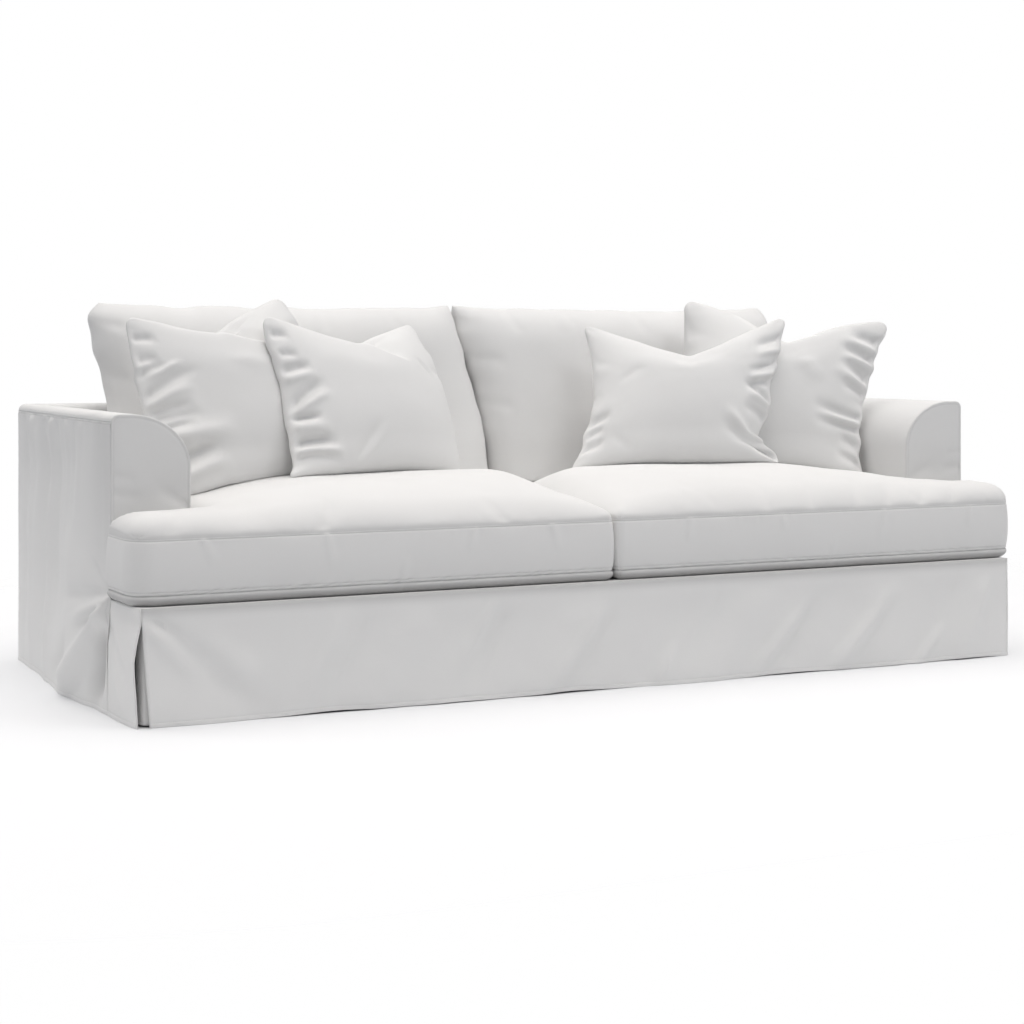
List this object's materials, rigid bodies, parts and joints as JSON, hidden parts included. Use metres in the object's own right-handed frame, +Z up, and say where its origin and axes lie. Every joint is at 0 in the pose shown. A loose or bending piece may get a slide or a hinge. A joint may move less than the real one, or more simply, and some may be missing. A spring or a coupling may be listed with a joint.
{
  "type": "sofa slipcover",
  "caption": "Fitted cloth cover for a wide sofa: square arms with arched inner edges, skirted base, boxed seat covers, soft back covers and dented throw pillow covers.",
  "frame": {"origin": "on the floor under the middle of the whole cover's box", "axes": "+Z up, the front faces -Y, +X runs along the seat to the sitter's left"},
  "size_m": [2.4139, 1.1229, 0.9356],
  "materials": {
    "body_cloth": "matt off-white cotton twill, topstitched seams",
    "cushion_cloth": "matt off-white cotton twill, double-needle seams",
    "pillow_cloth": "matt off-white cotton twill, knife edges"
  },
  "bodies": {
    "root": {"arm_cover_left": "body_cloth", "arm_cover_right": "body_cloth", "arm_front_left": "body_cloth", "arm_front_right": "body_cloth", "outside_arm_left": "body_cloth", "outside_arm_right": "body_cloth", "inside_back": "body_cloth", "outside_back": "body_cloth", "seat_deck": "body_cloth", "front_skirt": "body_cloth", "skirt_corner_left": "body_cloth", "skirt_corner_right": "body_cloth", "corner_pleat_left": "body_cloth", "corner_pleat_right": "body_cloth", "seat_cushion_left": "cushion_cloth", "seat_cushion_right": "cushion_cloth", "back_cushion_left": "cushion_cloth", "back_cushion_right": "cushion_cloth", "throw_pillow_left_rear": "pillow_cloth", "throw_pillow_left_front": "pillow_cloth", "throw_pillow_right_rear": "pillow_cloth", "throw_pillow_right_front": "pillow_cloth"}
  },
  "joints": []
}
